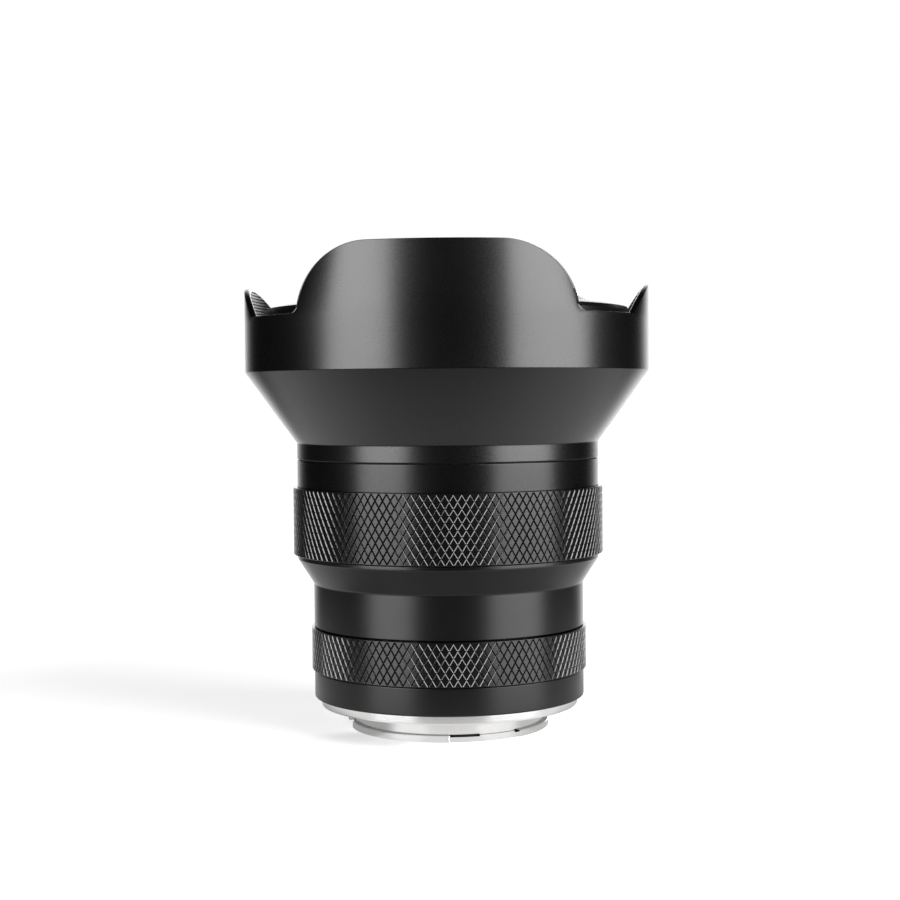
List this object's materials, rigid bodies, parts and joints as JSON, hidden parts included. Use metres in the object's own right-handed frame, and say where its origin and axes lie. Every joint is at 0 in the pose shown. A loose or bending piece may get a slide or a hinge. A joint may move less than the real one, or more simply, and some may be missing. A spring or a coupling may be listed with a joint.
{
  "type": "fisheye camera lens",
  "caption": "Black metal fisheye lens with a built-in petal hood, knurled focus and aperture rings, domed front glass and a bright three-lug bayonet.",
  "frame": {"origin": "on the optical axis, at the rear end of the bayonet that the lens stands on", "axes": "+Z along the optical axis towards the subject; long petals at -Y and +Y; short petals at -X and +X"},
  "size_m": [0.096, 0.096, 0.1122],
  "materials": {
    "satin_black": "satin black anodised",
    "flat_black": "flat black anodised",
    "bright_mount": "turned and chromed",
    "screw_steel": "bright steel",
    "lever_steel": "ground steel",
    "blade_steel": "blackened steel",
    "cam_brass": "machined brass",
    "lens_glass": "coated optical glass",
    "index_white": "white bead"
  },
  "bodies": {
    "barrel": {"bayonet_mount": "bright_mount", "mount_screws": "screw_steel", "rear_baffle": "flat_black", "baffle_screws": "screw_steel", "rear_housing": "satin_black", "mount_index": "index_white", "lower_barrel": "satin_black", "barrel_screws": "screw_steel", "focus_washer": "cam_brass", "focus_retainer": "flat_black"},
    "focus_ring": {"focus_grip": "satin_black", "focus_scale_ring": "satin_black", "focus_cam": "cam_brass"},
    "front_block": {"petal_hood": "satin_black", "inner_barrel": "flat_black", "hood_screws": "screw_steel", "cam_followers": "lever_steel", "front_cell": "flat_black", "front_bezel": "flat_black", "front_element": "lens_glass", "second_element": "lens_glass", "second_retainer": "flat_black", "middle_cell": "flat_black", "third_element": "lens_glass", "third_retainer": "flat_black", "fourth_element": "lens_glass", "fourth_retainer": "flat_black", "iris_housing": "flat_black", "iris_screws": "screw_steel", "rear_cell": "flat_black", "rear_cell_screws": "screw_steel", "fifth_element": "lens_glass", "sixth_element": "lens_glass", "rear_spacer": "flat_black", "seventh_element": "lens_glass", "rear_retainer": "flat_black"},
    "aperture_ring": {"aperture_ring": "satin_black", "aperture_lever": "lever_steel", "lever_screws": "screw_steel"},
    "iris_drive": {"iris_drive_ring": "lever_steel"},
    "iris_blade_1": {"iris_blade_1": "blade_steel"},
    "iris_blade_2": {"iris_blade_2": "blade_steel"},
    "iris_blade_3": {"iris_blade_3": "blade_steel"},
    "iris_blade_4": {"iris_blade_4": "blade_steel"},
    "iris_blade_5": {"iris_blade_5": "blade_steel"},
    "iris_blade_6": {"iris_blade_6": "blade_steel"},
    "iris_blade_7": {"iris_blade_7": "blade_steel"}
  },
  "joints": [
    {"name": "focus_turn", "type": "hinge", "parent": "barrel", "child": "focus_ring", "pos_m": [0, 0, 0.0495], "axis": [0, 0, 1], "range_deg": [0, 90]},
    {"name": "focus_travel", "type": "slide", "parent": "barrel", "child": "front_block", "axis": [0, 0, 1], "range_m": [0, 0.0015]},
    {"name": "aperture_turn", "type": "hinge", "parent": "barrel", "child": "aperture_ring", "pos_m": [0, 0, 0.01915], "axis": [0, 0, 1], "range_deg": [0, 48]},
    {"name": "iris_drive_turn", "type": "hinge", "parent": "front_block", "child": "iris_drive", "pos_m": [0, 0, 0.036], "axis": [0, 0, 1], "range_deg": [0, 48]},
    {"name": "iris_blade_1_turn", "type": "hinge", "parent": "front_block", "child": "iris_blade_1", "pos_m": [0.00804, 0.01009, 0.0385], "axis": [0, 0, 1], "range_deg": [0, 26]},
    {"name": "iris_blade_2_turn", "type": "hinge", "parent": "front_block", "child": "iris_blade_2", "pos_m": [-0.00287, 0.01258, 0.0385], "axis": [0, 0, 1], "range_deg": [0, 26]},
    {"name": "iris_blade_3_turn", "type": "hinge", "parent": "front_block", "child": "iris_blade_3", "pos_m": [-0.01162, 0.0056, 0.0385], "axis": [0, 0, 1], "range_deg": [0, 26]},
    {"name": "iris_blade_4_turn", "type": "hinge", "parent": "front_block", "child": "iris_blade_4", "pos_m": [-0.01162, -0.0056, 0.0385], "axis": [0, 0, 1], "range_deg": [0, 26]},
    {"name": "iris_blade_5_turn", "type": "hinge", "parent": "front_block", "child": "iris_blade_5", "pos_m": [-0.00287, -0.01258, 0.0385], "axis": [0, 0, 1], "range_deg": [0, 26]},
    {"name": "iris_blade_6_turn", "type": "hinge", "parent": "front_block", "child": "iris_blade_6", "pos_m": [0.00804, -0.01009, 0.0385], "axis": [0, 0, 1], "range_deg": [0, 26]},
    {"name": "iris_blade_7_turn", "type": "hinge", "parent": "front_block", "child": "iris_blade_7", "pos_m": [0.0129, 0, 0.0385], "axis": [0, 0, 1], "range_deg": [0, 26]}
  ],
  "couplings": [
    {"joint": "focus_travel", "follows": "focus_turn", "m_per_rad": 0.00095493},
    {"joint": "iris_drive_turn", "follows": "aperture_turn", "ratio": 1},
    {"joint": "iris_blade_1_turn", "follows": "aperture_turn", "ratio": 0.54167},
    {"joint": "iris_blade_2_turn", "follows": "aperture_turn", "ratio": 0.54167},
    {"joint": "iris_blade_3_turn", "follows": "aperture_turn", "ratio": 0.54167},
    {"joint": "iris_blade_4_turn", "follows": "aperture_turn", "ratio": 0.54167},
    {"joint": "iris_blade_5_turn", "follows": "aperture_turn", "ratio": 0.54167},
    {"joint": "iris_blade_6_turn", "follows": "aperture_turn", "ratio": 0.54167},
    {"joint": "iris_blade_7_turn", "follows": "aperture_turn", "ratio": 0.54167}
  ]
}
